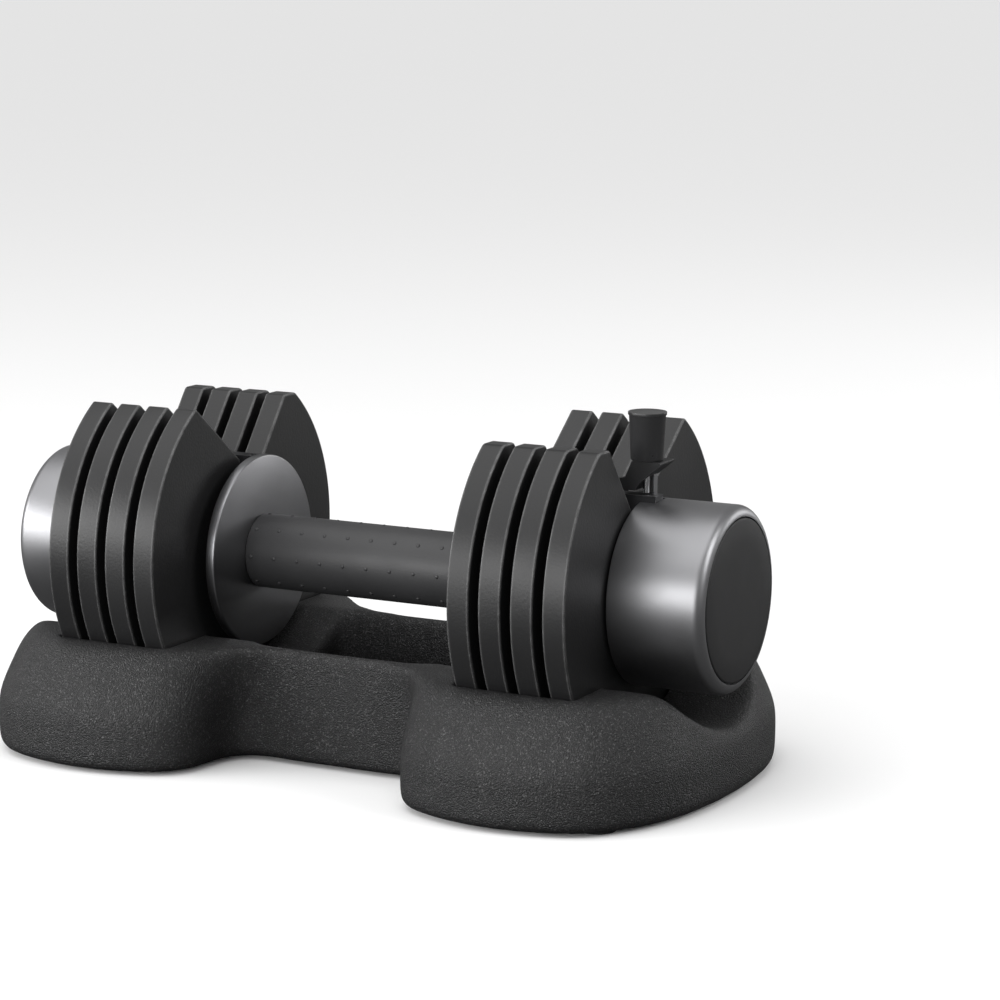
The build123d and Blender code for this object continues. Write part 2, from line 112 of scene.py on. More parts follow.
def uneven_group():
    """Soft cloudy variation between two values, for roughness."""
    tree, start, end = new_group("uneven", [("Scale", 30), ("Low", 0.3), ("High", 0.5)], ["Value"])
    place = add(tree, "ShaderNodeTexCoord")
    noise = add(tree, "ShaderNodeTexNoise", Detail=4.0)
    spread = add(tree, "ShaderNodeMapRange", From_Min=0.3, From_Max=0.7)
    tree.links.new(place.outputs["Object"], noise.inputs["Vector"])
    tree.links.new(start.outputs["Scale"], noise.inputs["Scale"])
    tree.links.new(noise.outputs["Fac"], spread.inputs["Value"])
    tree.links.new(start.outputs["Low"], spread.inputs["To Min"])
    tree.links.new(start.outputs["High"], spread.inputs["To Max"])
    tree.links.new(spread.outputs["Result"], end.inputs["Value"])
    return tree


def grain_group():
    """Pebble grain: rounded cells of uneven size, with their height and a mask of their crowns."""
    tree, start, end = new_group("grain", [("Scale", 900)], ["Height", "Crowns"])
    place = add(tree, "ShaderNodeTexCoord")
    cells = add(tree, "ShaderNodeTexVoronoi", {"feature": "SMOOTH_F1"}, Smoothness=0.6, Randomness=1.0)
    fine = add(tree, "ShaderNodeTexNoise", Detail=3.0, Roughness=0.6)
    tree.links.new(place.outputs["Object"], cells.inputs["Vector"])
    tree.links.new(place.outputs["Object"], fine.inputs["Vector"])
    tree.links.new(start.outputs["Scale"], cells.inputs["Scale"])
    tree.links.new(math_node(tree, "MULTIPLY", start.outputs["Scale"], 0.8), fine.inputs["Scale"])
    dome = math_node(tree, "SUBTRACT", 1.0, cells.outputs["Distance"])
    height = math_node(tree, "ADD", dome, fine.outputs["Fac"])
    tree.links.new(height, end.inputs["Height"])
    crowns = add(tree, "ShaderNodeMapRange", From_Min=0.56, From_Max=0.70)
    tree.links.new(fine.outputs["Fac"], crowns.inputs["Value"])
    tree.links.new(crowns.outputs["Result"], end.inputs["Crowns"])
    return tree


def edge_group():
    """Mask bright along sharp edges, broken by noise: handling wear, and a painted highlight on the
    plates.
    """
    tree, start, end = new_group("edge_wear_and_highlight", [("Width", 0.001), ("Scale", 200)], ["Mask"])
    place = add(tree, "ShaderNodeTexCoord")
    rounded = add(tree, "ShaderNodeBevel", {"samples": 4})
    shape = add(tree, "ShaderNodeNewGeometry")
    dot = add(tree, "ShaderNodeVectorMath", {"operation": "DOT_PRODUCT"})
    noise = add(tree, "ShaderNodeTexNoise", Detail=3.0)
    spread = add(tree, "ShaderNodeMapRange", From_Min=0.02, From_Max=0.16)
    tree.links.new(start.outputs["Width"], rounded.inputs["Radius"])
    tree.links.new(rounded.outputs["Normal"], dot.inputs[0])
    tree.links.new(shape.outputs["Normal"], dot.inputs[1])
    tree.links.new(math_node(tree, "SUBTRACT", 1.0, dot.outputs["Value"]), spread.inputs["Value"])
    tree.links.new(place.outputs["Object"], noise.inputs["Vector"])
    tree.links.new(start.outputs["Scale"], noise.inputs["Scale"])
    mask = math_node(tree, "MULTIPLY", spread.outputs["Result"], noise.outputs["Fac"])
    tree.links.new(mask, end.inputs["Mask"])
    return tree


uneven = uneven_group()
grain = grain_group()
edge_wear_and_highlight = edge_group()


def new_material(name, color, roughness, metallic=0.0, specular=0.5):
    """A Principled material; its maker adds the pattern nodes."""
    material = bpy.data.materials.new(name)
    material.use_nodes = True
    shader = material.node_tree.nodes["Principled BSDF"]
    shader.inputs["Base Color"].default_value = (*color, 1)
    shader.inputs["Roughness"].default_value = roughness
    shader.inputs["Metallic"].default_value = metallic
    shader.inputs["Specular IOR Level"].default_value = specular
    return material, material.node_tree, shader


def place_group(tree, group, **values):
    node = tree.nodes.new("ShaderNodeGroup")
    node.node_tree = group
    for key, value in values.items():
        node.inputs[key].default_value = value
    return node


def add_bump(tree, shader, height, distance, strength=1.0):
    bump = add(tree, "ShaderNodeBump", Distance=distance, Strength=strength)
    tree.links.new(height, bump.inputs["Height"])
    tree.links.new(bump.outputs["Normal"], shader.inputs["Normal"])


def mix_color(tree, shader, mask, low, high):
    """Base colour from low to high by a mask."""
    mix = add(tree, "ShaderNodeMix", {"data_type": "RGBA"})
    mix.inputs[6].default_value = (*low, 1)
    mix.inputs[7].default_value = (*high, 1)
    tree.links.new(mask, mix.inputs[0])
    tree.links.new(mix.outputs[2], shader.inputs["Base Color"])


def finish_piece(name, mesh, material, body, replaced, sharp=35):
    """Make the piece's object, shade it, put it on its body and hide the CAD nodes it replaces."""
    mesh.shade_smooth()
    mesh.set_sharp_from_angle(angle=math.radians(sharp))
    mesh.materials.clear()
    mesh.materials.append(material)
    piece = bpy.data.objects.new(name, mesh)
    bpy.context.collection.objects.link(piece)
    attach(piece, body)
    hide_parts(*replaced)
    return piece


def mesh_from(bm, name):
    mesh = bpy.data.meshes.new(name)
    bm.to_mesh(mesh)
    bm.free()
    return mesh


def remeshed(node, voxel_size):
    """An even quad skin over a copy of a CAD node."""
    bm = bmesh.new()
    bm.from_mesh(nodes[node].data)
    bmesh.ops.remove_doubles(bm, verts=bm.verts, dist=1e-6)
    source = bpy.data.objects.new("source", mesh_from(bm, "source"))
    bpy.context.collection.objects.link(source)
    skin = source.modifiers.new("skin", "REMESH")
    skin.mode = "VOXEL"
    skin.voxel_size = voxel_size
    graph = bpy.context.evaluated_depsgraph_get()
    mesh = bpy.data.meshes.new_from_object(source.evaluated_get(graph))
    bpy.data.objects.remove(source)
    return mesh


plate_low, plate_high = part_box("plate_right_1")
far_plate_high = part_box("plate_right_4")[1]
plate_radius = (plate_high.y - plate_low.y) / 2
plate_rise = 0.0025
plate_centre = Vector((0, 0, handle.z + plate_rise))
tray_mesh = remeshed("tray", voxel)
bm = bmesh.new()
bm.from_mesh(tray_mesh)
moulded = []
for vert in bm.verts:
    out = math.hypot(vert.co.y, vert.co.z - plate_centre.z)
    beside = plate_low.x - well_margin < abs(vert.co.x) < far_plate_high.x + well_margin
    if not beside or out > plate_radius + well_margin:
        moulded.append(vert)
for _ in range(smoothing_passes):
    bmesh.ops.smooth_vert(bm, verts=moulded, factor=0.5, use_axis_x=True, use_axis_y=True,
                          use_axis_z=True)
bm.to_mesh(tray_mesh)
bm.free()

tray_plastic, tree, shader = new_material("tray_plastic", (0.02, 0.02, 0.02), 0.42)
pebble_grain_and_sparkle = place_group(tree, grain, Scale=1700)
patches = place_group(tree, uneven, Scale=18, Low=0.40, High=0.52)
# The grain's flecks lift the black plastic to dark grey: partly random tone, partly a painted sparkle
# highlight.
mix_color(tree, shader, pebble_grain_and_sparkle.outputs["Crowns"], (0.009, 0.009, 0.0095), (0.12, 0.12, 0.12))
add_bump(tree, shader, pebble_grain_and_sparkle.outputs["Height"], 0.0005)
tree.links.new(patches.outputs["Value"], shader.inputs["Roughness"])
finish_piece("tray_shell", tray_mesh, tray_plastic, "tray", ["tray"], sharp=60)

# Feet: eight soft rubber pads pressed into seats in the tray's underside, each with a rounded edge
# and a shallow ring moulded into the face that meets the floor.
foot_radius = 0.008
foot_round = 0.0005
ring_width = 0.0022
ring_depth = 0.0003
inner_foot_shift = 0.0006


def round_edges(bm, radius, chosen, segments=3):
    """Round the chosen sharp edges."""
    edges = [e for e in bm.edges if len(e.link_faces) == 2 and e.calc_face_angle(0) > 0.5 and chosen(e)]
    bmesh.ops.bevel(bm, geom=edges, offset=radius, affect="EDGES", segments=segments, profile=0.5,
                    material=-1, clamp_overlap=True)


feet_low, feet_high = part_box("tray_feet")
reach_x = feet_high.x - foot_radius
reach_y = feet_high.y - foot_radius
inner_x = plate_low.x - inner_foot_shift
bm = bmesh.new()
for x in (-reach_x, -inner_x, inner_x, reach_x):
    for y in (-reach_y, reach_y):
        place = Matrix.Translation((x, y, (feet_low.z + feet_high.z) / 2))
        bmesh.ops.create_cone(bm, cap_ends=True, segments=48, radius1=foot_radius,
                              radius2=foot_radius, depth=feet_high.z - feet_low.z, matrix=place)
soles = [f for f in bm.faces if f.normal.z < -0.9]
bmesh.ops.inset_individual(bm, faces=soles, thickness=ring_width)
bmesh.ops.inset_individual(bm, faces=soles, thickness=ring_width / 2, depth=-ring_depth)
round_edges(bm, foot_round, lambda e: (e.verts[0].co.z + e.verts[1].co.z) / 2 < feet_low.z + 1e-4)
foot_rubber, tree, shader = new_material("foot_rubber", (0.018, 0.018, 0.018), 0.75)
specks = place_group(tree, grain, Scale=1400)
mix_color(tree, shader, specks.outputs["Crowns"], (0.014, 0.014, 0.014), (0.03, 0.03, 0.03))
add_bump(tree, shader, specks.outputs["Height"], 0.00008)
finish_piece("tray_foot_pads", mesh_from(bm, "tray_foot_pads"), foot_rubber, "tray",
             ["tray_feet"])

# Handle tube, inner discs and grip: a drawn steel tube, a turned steel disc welded near each end, and
# between them a dark rubber sleeve pulled over the tube, moulded with rows of small round bumps.
bump_rows = 8
bump_columns = 11
bump_margin = 0.0032
bump_radius = 0.0009
bump_proud = 0.0005
disc_round = 0.0008
sleeve_round = 0.0005


def turning_group(height):
    """Fine circular marks left by a lathe, about the handle's axis at this height."""
    tree, start, end = new_group("turning_marks", [("Scale", 2500)], ["Height"])
    place = add(tree, "ShaderNodeTexCoord")
    split = add(tree, "ShaderNodeSeparateXYZ")
    marks = add(tree, "ShaderNodeTexNoise", {"noise_dimensions": "1D"}, Detail=3.0, Roughness=0.7)
    tree.links.new(place.outputs["Object"], split.inputs[0])
    rise = math_node(tree, "SUBTRACT", split.outputs["Z"], height)
    square = math_node(tree, "ADD", math_node(tree, "POWER", rise, 2.0),
                       math_node(tree, "MULTIPLY", split.outputs["Y"], split.outputs["Y"]))
    along = math_node(tree, "ADD", math_node(tree, "SQRT", square), split.outputs["X"])
    tree.links.new(along, marks.inputs["W"])
    tree.links.new(start.outputs["Scale"], marks.inputs["Scale"])
    tree.links.new(marks.outputs["Fac"], end.inputs["Height"])
    return tree


turning_marks = turning_group(handle.z)


def lathe(profile, centre, axis=(1, 0, 0), steps=128):
    """Turn a profile of (distance along the axis, radius) points about the handle or an upright axis."""
    bm = bmesh.new()
    upright = axis[2] == 1
    ring = []
    for along, radius in profile:
        offset = (radius, 0, along) if upright else (along, 0, radius)
        ring.append(bm.verts.new(centre + Vector(offset)))
    for first, second in zip(ring, ring[1:]):
        bm.edges.new((first, second))
    bmesh.ops.spin(bm, geom=bm.verts[:] + bm.edges[:], cent=centre, axis=axis, angle=2 * math.pi,
                   steps=steps, use_merge=True)
    bmesh.ops.remove_doubles(bm, verts=bm.verts, dist=1e-6)
    bmesh.ops.recalc_face_normals(bm, faces=bm.faces)
    return bm


def radius_of(point, centre):
    return math.hypot(point.y - centre.y, point.z - centre.z)


def at_radius(radius, x):
    """Picks the ring of edges at this distance from the handle's axis and this place along it."""
    def chosen(edge):
        same = all(abs(radius_of(v.co, handle) - radius) < 1e-5 for v in edge.verts)
        return same and all(abs(v.co.x - x) < 1e-5 for v in edge.verts)
    return chosen


def metal(name, color, roughness, marks=2500, depth=0.00002, wear=1.8):
    """Satin turned metal; its rubbed edges are brighter by the factor wear."""
    material, tree, shader = new_material(name, color, roughness, metallic=1.0)
    lines = place_group(tree, turning_marks, Scale=marks)
    clouds = place_group(tree, uneven, Scale=25, Low=roughness - 0.03, High=roughness + 0.05)
    edges = place_group(tree, edge_wear_and_highlight, Width=0.0006, Scale=300)
    mix_color(tree, shader, edges.outputs["Mask"], color, tuple(min(1, wear * c) for c in color))
    add_bump(tree, shader, lines.outputs["Height"], depth)
    tree.links.new(clouds.outputs["Value"], shader.inputs["Roughness"])
    return material


grip_radius = (grip_high.z - grip_low.z) / 2
tube_low, tube_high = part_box("handle_tube")
tube_radius = (tube_high.z - tube_low.z) / 2
disc_metal = metal("disc_metal", (0.27, 0.27, 0.28), 0.32)
for side, body_side in ((1, "right"), (-1, "left")):
    disc_low, disc_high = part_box(f"inner_disc_{body_side}")
    disc_radius = (disc_high.z - disc_low.z) / 2
    rim = [(disc_low.x, tube_radius), (disc_low.x, disc_radius), (disc_high.x, disc_radius),
           (disc_high.x, tube_radius), (disc_low.x, tube_radius)]
    bm = lathe(rim, Vector((0, 0, handle.z)), steps=160)
    for x in (disc_low.x, disc_high.x):
        round_edges(bm, disc_round, at_radius(disc_radius, x))
    finish_piece(f"inner_disc_{body_side}_turned", mesh_from(bm, "disc"), disc_metal, "dumbbell",
                 [f"inner_disc_{body_side}"])

bm = lathe([(grip_low.x, tube_radius), (grip_low.x, grip_radius), (grip_high.x, grip_radius),
            (grip_high.x, tube_radius), (grip_low.x, tube_radius)], Vector((0, 0, handle.z)))
for x in (grip_low.x, grip_high.x):
    round_edges(bm, sleeve_round, at_radius(grip_radius, x))
pitch = (grip_high.x - grip_low.x - 2 * bump_margin) / (bump_columns - 1)
for row in range(bump_rows):
    turn = Matrix.Rotation(2 * math.pi * row / bump_rows, 4, "X")
    for column in range(bump_columns):
        x = grip_low.x + bump_margin + column * pitch
        seat = Matrix.Translation((x, 0, handle.z)) @ turn @ Matrix.Translation((0, 0, grip_radius))
        flat = seat @ Matrix.Diagonal((1, 1, bump_proud / bump_radius, 1))
        bmesh.ops.create_icosphere(bm, subdivisions=2, radius=bump_radius, matrix=flat)
grip_rubber, tree, shader = new_material("grip_rubber", (0.052, 0.052, 0.054), 0.46)
skin = place_group(tree, grain, Scale=2600)
patches = place_group(tree, uneven, Scale=40, Low=0.42, High=0.54)
mix_color(tree, shader, patches.outputs["Value"], (0.032, 0.032, 0.033), (0.048, 0.048, 0.050))
add_bump(tree, shader, skin.outputs["Height"], 0.00004)
tree.links.new(patches.outputs["Value"], shader.inputs["Roughness"])
finish_piece("grip_sleeve_bumped", mesh_from(bm, "grip"), grip_rubber, "dumbbell",
             ["grip_sleeve"], sharp=50)


def dress(material, *names):
    """Give CAD nodes this material."""
    for name in names:
        nodes[name].data.materials.clear()
        nodes[name].data.materials.append(material)


bar_steel = metal("bar_steel", (0.30, 0.30, 0.31), 0.36, marks=4000, depth=0.00001)
dress(bar_steel, "handle_tube", "selector_bar_right", "selector_bar_left")

# Plates: four grey-iron castings on each side, faced, slotted from above for the core rail and the
# selector bar, and finished in satin black paint. Their edges are broken by a small radius.
foot_drop = 0.074
narrow_top = 0.0664
narrow_mouth = 0.0365
narrow_slope = math.radians(52.0)
wide_slope = math.radians(37.2)
wide_foot = 0.0418
channel_narrow = 0.008
channel_wide = 0.004
channel_drop = 0.032
notch_reach = 0.0114
notch_half = 0.0061
horn_round = 0.0025
plate_round = 0.0007
arc_step = math.radians(1.5)


def plate_shape(x_low, x_high):
    """One right-hand plate between two places along the handle."""
    centre = Vector((x_low, 0, plate_centre.z))
    steep = (narrow_mouth - channel_narrow) * math.tan(narrow_slope)
    slope = Vector((0, math.cos(wide_slope), math.sin(wide_slope)))
    start = Vector((0, channel_wide, wide_foot - plate_rise))
    lead = start.dot(slope)
    tip = start + slope * (-lead + math.sqrt(lead ** 2 - start.length_squared + plate_radius ** 2))
    narrow_tip = -math.sqrt(plate_radius ** 2 - (narrow_top - plate_rise) ** 2)
    foot_half = math.sqrt(plate_radius ** 2 - (foot_drop + plate_rise) ** 2)
    corners = [(tip.y, tip.z + plate_rise), (channel_wide, wide_foot), (channel_wide, notch_half),
               (notch_reach, notch_half), (notch_reach, -notch_half), (channel_wide, -notch_half),
               (channel_wide, -channel_drop), (-channel_narrow, -channel_drop),
               (-channel_narrow, narrow_top - steep), (-narrow_mouth, narrow_top),
               (narrow_tip, narrow_top)]
    bm = bmesh.new()
    points = [bm.verts.new((x_low, y, handle.z + z)) for y, z in corners]
    for first, second in zip(points, points[1:]):
        bm.edges.new((first, second))
    foot_angle = math.atan2(-(foot_drop + plate_rise), foot_half)
    tip_angle = math.atan2(tip.z, tip.y)
    narrow_angle = math.atan2(narrow_top - plate_rise, narrow_tip)
    for corner, angle in ((points[0], foot_angle - tip_angle),
                          (points[-1], math.pi - foot_angle - narrow_angle)):
        bmesh.ops.spin(bm, geom=[corner], cent=centre, axis=(1, 0, 0), angle=angle,
                       steps=round(abs(angle) / arc_step))
    ends = [v for v in bm.verts if len(v.link_edges) == 1]
    bm.edges.new(ends)
    bmesh.ops.contextual_create(bm, geom=bm.edges[:])
    horns = [points[0], points[-1], points[-2]]
    bmesh.ops.bevel(bm, geom=horns, offset=horn_round / 2, affect="VERTICES", segments=5, profile=0.5,
                    material=-1)
    side = bmesh.ops.extrude_face_region(bm, geom=bm.faces[:])["geom"]
    bmesh.ops.translate(bm, verts=[g for g in side if isinstance(g, bmesh.types.BMVert)],
                        vec=(x_high - x_low, 0, 0))
    bmesh.ops.recalc_face_normals(bm, faces=bm.faces)
    caps = [e for e in bm.edges if abs(e.verts[0].co.x - e.verts[1].co.x) < 1e-6]
    bmesh.ops.bevel(bm, geom=caps, offset=plate_round, affect="EDGES", segments=3, profile=0.5,
                    material=-1, clamp_overlap=True)
    return bm


plate_paint, tree, shader = new_material("plate_paint", (0.014, 0.014, 0.0145), 0.38, specular=0.45)
peel = place_group(tree, grain, Scale=900)
clouds = place_group(tree, uneven, Scale=22, Low=0.34, High=0.44)
# The edge mask lifts the black paint to light grey along every edge: a painted highlight, not wear.
edges = place_group(tree, edge_wear_and_highlight, Width=0.0016, Scale=260)
mix_color(tree, shader, edges.outputs["Mask"], (0.014, 0.014, 0.0145), (0.50, 0.50, 0.50))
add_bump(tree, shader, peel.outputs["Height"], 0.00003)
tree.links.new(clouds.outputs["Value"], shader.inputs["Roughness"])
for number in range(1, 5):
    low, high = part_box(f"plate_right_{number}")
    for body_side, turn in (("right", 0), ("left", math.pi)):
        bm = plate_shape(low.x, high.x)
        bmesh.ops.rotate(bm, verts=bm.verts, cent=(0, 0, 0), matrix=Matrix.Rotation(turn, 3, "Z"))
        piece = finish_piece(f"weight_plate_{body_side}_{number}", mesh_from(bm, "plate"), plate_paint,
                             "dumbbell", [f"plate_{body_side}_{number}"])
        soften = piece.modifiers.new("flat faces", "WEIGHTED_NORMAL")
        soften.keep_sharp = True

# Spacers: soft matte rubber discs punched from sheet and stuck to the plates' outer faces. They keep the
# gaps between the plates and stop them rattling.
spacer_rubber, tree, shader = new_material("spacer_rubber", (0.02, 0.02, 0.02), 0.7)
specks = place_group(tree, grain, Scale=1800)
mix_color(tree, shader, specks.outputs["Crowns"], (0.016, 0.016, 0.016), (0.03, 0.03, 0.03))
add_bump(tree, shader, specks.outputs["Height"], 0.00005)
dress(spacer_rubber, "plate_spacers_right", "plate_spacers_left")

# Core rails: black anodised aluminium extrusions, milled to a thin upper web, drilled along the top
# for the pull pin and welded to the inner discs.
rail_metal, tree, shader = new_material("rail_metal", (0.05, 0.05, 0.053), 0.4, metallic=0.7)
satin = place_group(tree, grain, Scale=3000)
clouds = place_group(tree, uneven, Scale=60, Low=0.34, High=0.46)
edges = place_group(tree, edge_wear_and_highlight, Width=0.0005, Scale=400)
mix_color(tree, shader, edges.outputs["Mask"], (0.045, 0.045, 0.048), (0.35, 0.35, 0.36))
add_bump(tree, shader, satin.outputs["Height"], 0.00002)
tree.links.new(clouds.outputs["Value"], shader.inputs["Roughness"])
dress(rail_metal, "core_rail_right", "core_rail_left")

# End weights: thick steel cups turned from bar, satin finished, with a large outer radius. A slot cut
# in the inner face takes the core rail's tenon and lets the selector bar's post rise.
weight_round = 0.0055
inner_round = 0.0006
cup_floor = 0.012
cup_radius = 0.033
insert_seat = 0.003
insert_radius = 0.0355
insert_groove = 0.0005
rim_setback = 0.86  # share of the outer radius that the bevel is set back from the corner
slot_margin = 0.0001
slot_front = -0.0078
tenon_back = 0.0038
tenon_height = 0.0221
web_back = 0.0041
bar_slot_back = 0.0108
bar_slot_half = 0.0055
bar_margin = 0.0003
overrun = 0.001  # how far the cuts run out past a face

end_metal = metal("end_metal", (0.30, 0.30, 0.31), 0.40, marks=2200, wear=1.0)
rail_low, rail_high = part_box("core_rail_right")
bar_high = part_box("selector_bar_right")[1]
for body_side, turn in (("right", 0), ("left", math.pi)):
    low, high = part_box("end_weight_right")
    radius = (high.z - low.z) / 2
    seat = high.x - insert_seat
    lip = insert_radius + insert_groove
    cup = [(low.x, 0), (low.x, radius), (high.x, radius), (high.x, lip), (seat, lip),
           (seat, cup_radius), (low.x + cup_floor, cup_radius), (low.x + cup_floor, 0)]
    bm = lathe(cup, Vector((0, 0, handle.z)), steps=192)
    round_edges(bm, inner_round, at_radius(radius, low.x))
    round_edges(bm, weight_round * rim_setback, at_radius(radius, high.x), segments=8)
    weight = mesh_from(bm, "end_weight")
    cutter = bmesh.new()
    mouth = low.x - overrun
    slots = [((mouth, slot_front, rail_low.z - slot_margin),
              (rail_high.x + slot_margin, tenon_back, rail_low.z + tenon_height)),
             ((mouth, slot_front, rail_low.z),
              (rail_high.x + slot_margin, web_back, high.z + overrun)),
             ((mouth, 0.0, handle.z - bar_slot_half),
              (bar_high.x + bar_margin, bar_slot_back, handle.z + bar_slot_half))]
    for corner, far in slots:
        size = [b - a for a, b in zip(corner, far)]
        middle = [(a + b) / 2 for a, b in zip(corner, far)]
        block = Matrix.Translation(middle) @ Matrix.Diagonal((*size, 1))
        bmesh.ops.create_cube(cutter, size=1, matrix=block)
    tool = bpy.data.objects.new("tool", mesh_from(cutter, "tool"))
    source = bpy.data.objects.new("source", weight)
    bpy.context.collection.objects.link(tool)
    bpy.context.collection.objects.link(source)
    cut = source.modifiers.new("slot", "BOOLEAN")
    cut.operation = "DIFFERENCE"
    cut.solver = "EXACT"
    cut.use_self = True
    cut.object = tool
    graph = bpy.context.evaluated_depsgraph_get()
    weight = bpy.data.meshes.new_from_object(source.evaluated_get(graph))
    bpy.data.objects.remove(source)
    bpy.data.objects.remove(tool)
    weight.transform(Matrix.Rotation(turn, 4, "Z"))
    finish_piece(f"end_weight_{body_side}_turned", weight, end_metal, "dumbbell",
                 [f"end_weight_{body_side}"])

# End inserts: matte charcoal plastic discs that snap into the end weights on a short spigot. The face
# is very slightly crowned, with a rounded edge beside the dark gap round it.
insert_round = 0.0008
insert_crown = 0.0002
crown_reach = 0.7
spigot_slip = 0.00005
spigot_wall = 0.002
recess = 0.0002
insert_plastic, tree, shader = new_material("insert_plastic", (0.018, 0.018, 0.019), 0.55)
fine = place_group(tree, grain, Scale=3200)
clouds = place_group(tree, uneven, Scale=30, Low=0.50, High=0.60)
mix_color(tree, shader, clouds.outputs["Value"], (0.012, 0.012, 0.0125), (0.016, 0.016, 0.017))
add_bump(tree, shader, fine.outputs["Height"], 0.00003)
tree.links.new(clouds.outputs["Value"], shader.inputs["Roughness"])
insert_low, insert_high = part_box("end_insert_right")
for body_side, turn in (("right", 0), ("left", math.pi)):
    spigot = cup_radius - spigot_slip
    inside = spigot - spigot_wall
    face = [(insert_high.x, 0), (insert_high.x - insert_crown, insert_radius * crown_reach),
            (insert_high.x - 2 * insert_crown, insert_radius), (seat, insert_radius), (seat, spigot),
            (insert_low.x, spigot), (insert_low.x, inside), (seat - recess, inside),
            (seat - recess, 0)]
    bm = lathe(face, Vector((0, 0, handle.z)), steps=160)
    round_edges(bm, insert_round, at_radius(insert_radius, insert_high.x - 2 * insert_crown))
    bmesh.ops.rotate(bm, verts=bm.verts, cent=(0, 0, 0), matrix=Matrix.Rotation(turn, 3, "Z"))
    finish_piece(f"end_insert_{body_side}_disc", mesh_from(bm, "insert"), insert_plastic, "dumbbell",
                 [f"end_insert_{body_side}"])

# Drive inside the tube: nylon guides and gear carriers, a brass pinion on a steel axle, and the
# bolts that hold the end weights. None of it shows until the dumbbell is taken apart.
guide_plastic, tree, shader = new_material("guide_plastic", (0.10, 0.10, 0.105), 0.5)
fine = place_group(tree, grain, Scale=2500)
clouds = place_group(tree, uneven, Scale=80, Low=0.44, High=0.56)
add_bump(tree, shader, fine.outputs["Height"], 0.00003)
mix_color(tree, shader, clouds.outputs["Value"], (0.09, 0.09, 0.095), (0.12, 0.12, 0.125))
tree.links.new(clouds.outputs["Value"], shader.inputs["Roughness"])
dress(guide_plastic, "bar_guide_right", "bar_guide_left", "gear_carrier_top", "gear_carrier_bottom")
pinion_metal = metal("pinion_metal", (0.72, 0.55, 0.28), 0.30, marks=5000, depth=0.00001)
dress(pinion_metal, "pinion")
bright_steel = metal("bright_steel", (0.62, 0.62, 0.63), 0.18, marks=6000, depth=0.000006)
dress(bright_steel, "pinion_axle", "end_bolts_right", "end_bolts_left", "spring_cap", "post_screw",
      "stop_screw", "retaining_ring", "pull_pin")

# Carriage: a matte black plastic moulding, screwed to the selector bar's post, with the neck that
# houses the pull pin's spring.
carriage_plastic, tree, shader = new_material("carriage_plastic", (0.012, 0.012, 0.013), 0.5)
fine = place_group(tree, grain, Scale=2200)
edges = place_group(tree, edge_wear_and_highlight, Width=0.0005, Scale=400)
mix_color(tree, shader, edges.outputs["Mask"], (0.011, 0.011, 0.012), (0.06, 0.06, 0.06))
add_bump(tree, shader, fine.outputs["Height"], 0.00004)
dress(carriage_plastic, "carriage")

# Pin spring: nine turns of bright round wire between the ring on the pull pin and the cap that closes
# the carriage's neck. The cap holds its upper end.
spring_turns = 9
spring_wire = 0.0003
turn_steps = 24
spring_low, spring_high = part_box("pin_spring")
spring_middle = (spring_low + spring_high) / 2
spring_radius = (spring_high.x - spring_low.x) / 2 - spring_wire
spring_length = spring_high.z - spring_low.z
rise = (spring_length - 2 * spring_wire) / (spring_turns * turn_steps)
start = Vector((spring_middle.x + spring_radius, spring_middle.y, spring_low.z + spring_wire))
bm = bmesh.new()
bmesh.ops.create_circle(bm, segments=8, radius=spring_wire,
                        matrix=Matrix.Translation(start) @ Matrix.Rotation(math.pi / 2, 4, "X"))
bmesh.ops.spin(bm, geom=bm.verts[:] + bm.edges[:], cent=spring_middle, axis=(0, 0, 1),
               dvec=(0, 0, rise), angle=2 * math.pi * spring_turns, steps=spring_turns * turn_steps)
bmesh.ops.holes_fill(bm, edges=[e for e in bm.edges if e.is_boundary], sides=8)
bmesh.ops.recalc_face_normals(bm, faces=bm.faces)
spring = finish_piece("pin_spring_coil", mesh_from(bm, "spring"), bright_steel, "selector_right",
                      ["pin_spring"])
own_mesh(spring)

# Knob: a satin black turned grip, slightly wider at the top, with a flat rim round its crown. It is
# pressed onto the pull pin and slides over the carriage's neck.
knob_bottom = 0.0069
knob_waist = 0.0079
knob_rim_radius = 0.0083
knob_rim = 0.0014
knob_bore = 0.0043
knob_roof = 0.0056
knob_round = 0.0005
crown_depth = 0.0003
crown_share = 0.8
bore_margin = 0.001
knob_low, knob_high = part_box("knob")
knob_centre = Vector(((knob_low.x + knob_high.x) / 2, (knob_low.y + knob_high.y) / 2, 0))
roof = knob_high.z - knob_roof
shape = [(roof, 0), (roof, knob_bore), (knob_low.z, knob_bore), (knob_low.z, knob_bottom),
         (knob_high.z - knob_rim, knob_waist), (knob_high.z - knob_rim, knob_rim_radius),
         (knob_high.z, knob_rim_radius), (knob_high.z - crown_depth, knob_waist * crown_share),
         (knob_high.z - crown_depth, 0)]
bm = lathe(shape, knob_centre, axis=(0, 0, 1), steps=96)


def outer_ring(edge):
    """Picks the knob's level rings outside its bore."""
    first, second = (v.co - knob_centre for v in edge.verts)
    return abs(first.z - second.z) < 1e-6 and math.hypot(first.x, first.y) > knob_bore + bore_margin


round_edges(bm, knob_round / 2, outer_ring)
knob_plastic, tree, shader = new_material("knob_plastic", (0.028, 0.028, 0.029), 0.30)
fine = place_group(tree, grain, Scale=2600)
clouds = place_group(tree, uneven, Scale=90, Low=0.27, High=0.36)
edges = place_group(tree, edge_wear_and_highlight, Width=0.0005, Scale=500)
mix_color(tree, shader, edges.outputs["Mask"], (0.026, 0.026, 0.027), (0.11, 0.11, 0.11))
add_bump(tree, shader, fine.outputs["Height"], 0.00002)
tree.links.new(clouds.outputs["Value"], shader.inputs["Roughness"])
finish_piece("pull_knob_grip", mesh_from(bm, "knob"), knob_plastic, "pull_knob",
             ["knob"])

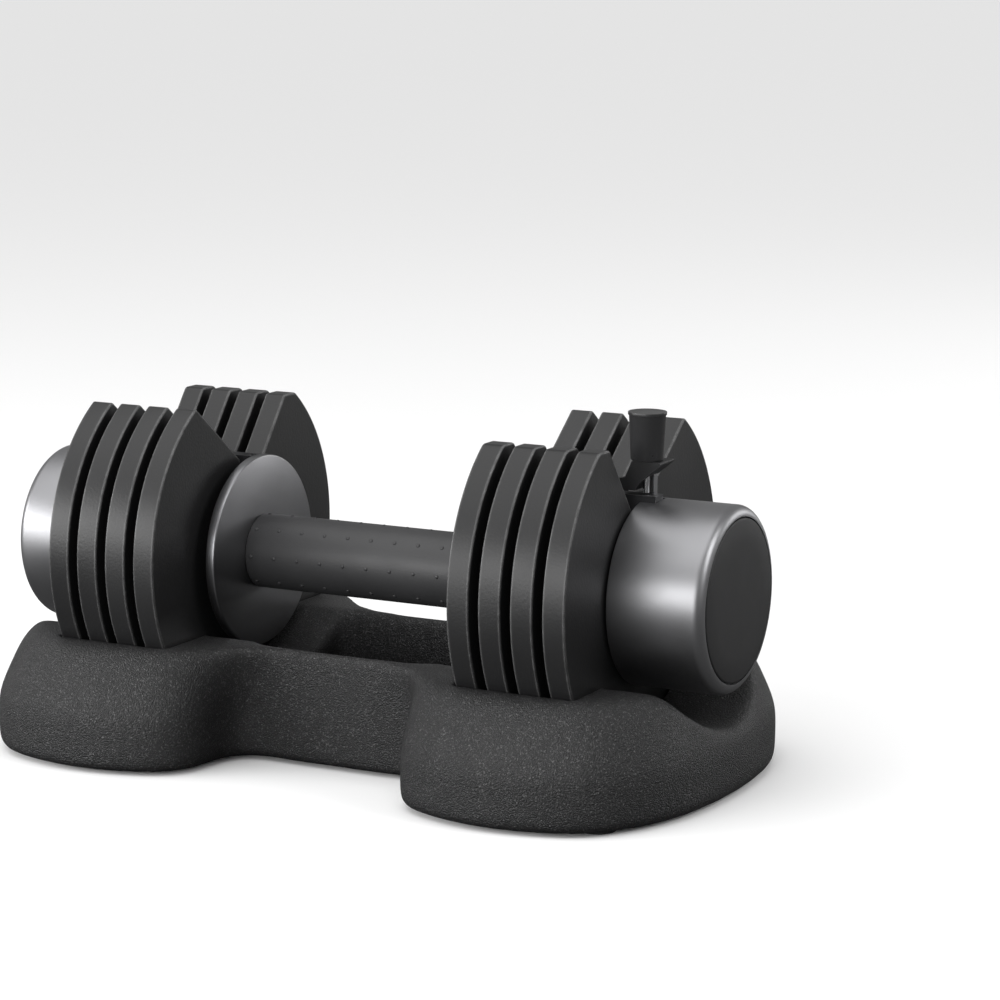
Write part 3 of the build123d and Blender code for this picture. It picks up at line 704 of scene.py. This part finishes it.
# Studio: a wide pale floor, a long soft light in front, smaller ones at the left, at the right and behind
# on the right, and a broad even one above. The floor throws little light back, so undersides stay dark.
floor_size = 40.0
floor_seen = (1.0, 1.0, 1.0)
floor_bounce = (0.10, 0.10, 0.10)
sky_level = 0.32
overhead_power = 1.5
overhead_spread = math.radians(70)
overhead_from = Vector((-0.2, -0.25, 1))
bm = bmesh.new()
bmesh.ops.create_grid(bm, x_segments=1, y_segments=1, size=floor_size / 2,
                      matrix=Matrix.Translation((0, 0, feet_low.z)))
floor_mesh = mesh_from(bm, "floor")
pale, tree, shader = new_material("pale_floor", floor_seen, 0.8, specular=0.0)
path = add(tree, "ShaderNodeLightPath")
mix_color(tree, shader, path.outputs["Is Camera Ray"], floor_bounce, floor_seen)
floor_mesh.materials.append(pale)
floor = bpy.data.objects.new("floor", floor_mesh)
bpy.context.collection.objects.link(floor)

world = bpy.data.worlds.new("studio")
world.use_nodes = True
bpy.context.scene.world = world
sky = world.node_tree
background = sky.nodes["Background"]
background.inputs["Color"].default_value = (1, 1, 1, 1)
path = sky.nodes.new("ShaderNodeLightPath")
level = add(sky, "ShaderNodeMapRange", To_Min=sky_level, To_Max=1.0)
sky.links.new(path.outputs["Is Camera Ray"], level.inputs["Value"])
sky.links.new(level.outputs["Result"], background.inputs["Strength"])
bpy.context.scene.view_settings.view_transform = "Standard"


def soft_light(name, place, width, height, power):
    """A rectangular light that faces the handle."""
    data = bpy.data.lights.new(name, "AREA")
    data.shape = "RECTANGLE"
    data.size = width
    data.size_y = height
    data.energy = power
    light = bpy.data.objects.new(name, data)
    light.location = place
    light.rotation_euler = (Vector(place) - handle).to_track_quat("Z", "Y").to_euler()
    bpy.context.collection.objects.link(light)


soft_light("front", (-0.4, -1.55, 0.38), 2.4, 0.6, 22)
soft_light("left", (-1.5, -0.9, 0.5), 0.8, 0.6, 14)
soft_light("behind", (1.0, 1.7, 0.4), 0.9, 0.6, 5)
soft_light("right", (1.6, 0.1, 1.1), 0.9, 0.9, 12)
overhead = bpy.data.lights.new("above", "SUN")
overhead.energy = overhead_power
overhead.angle = overhead_spread
above = bpy.data.objects.new("above", overhead)
above.rotation_euler = overhead_from.to_track_quat("Z", "Y").to_euler()
bpy.context.collection.objects.link(above)
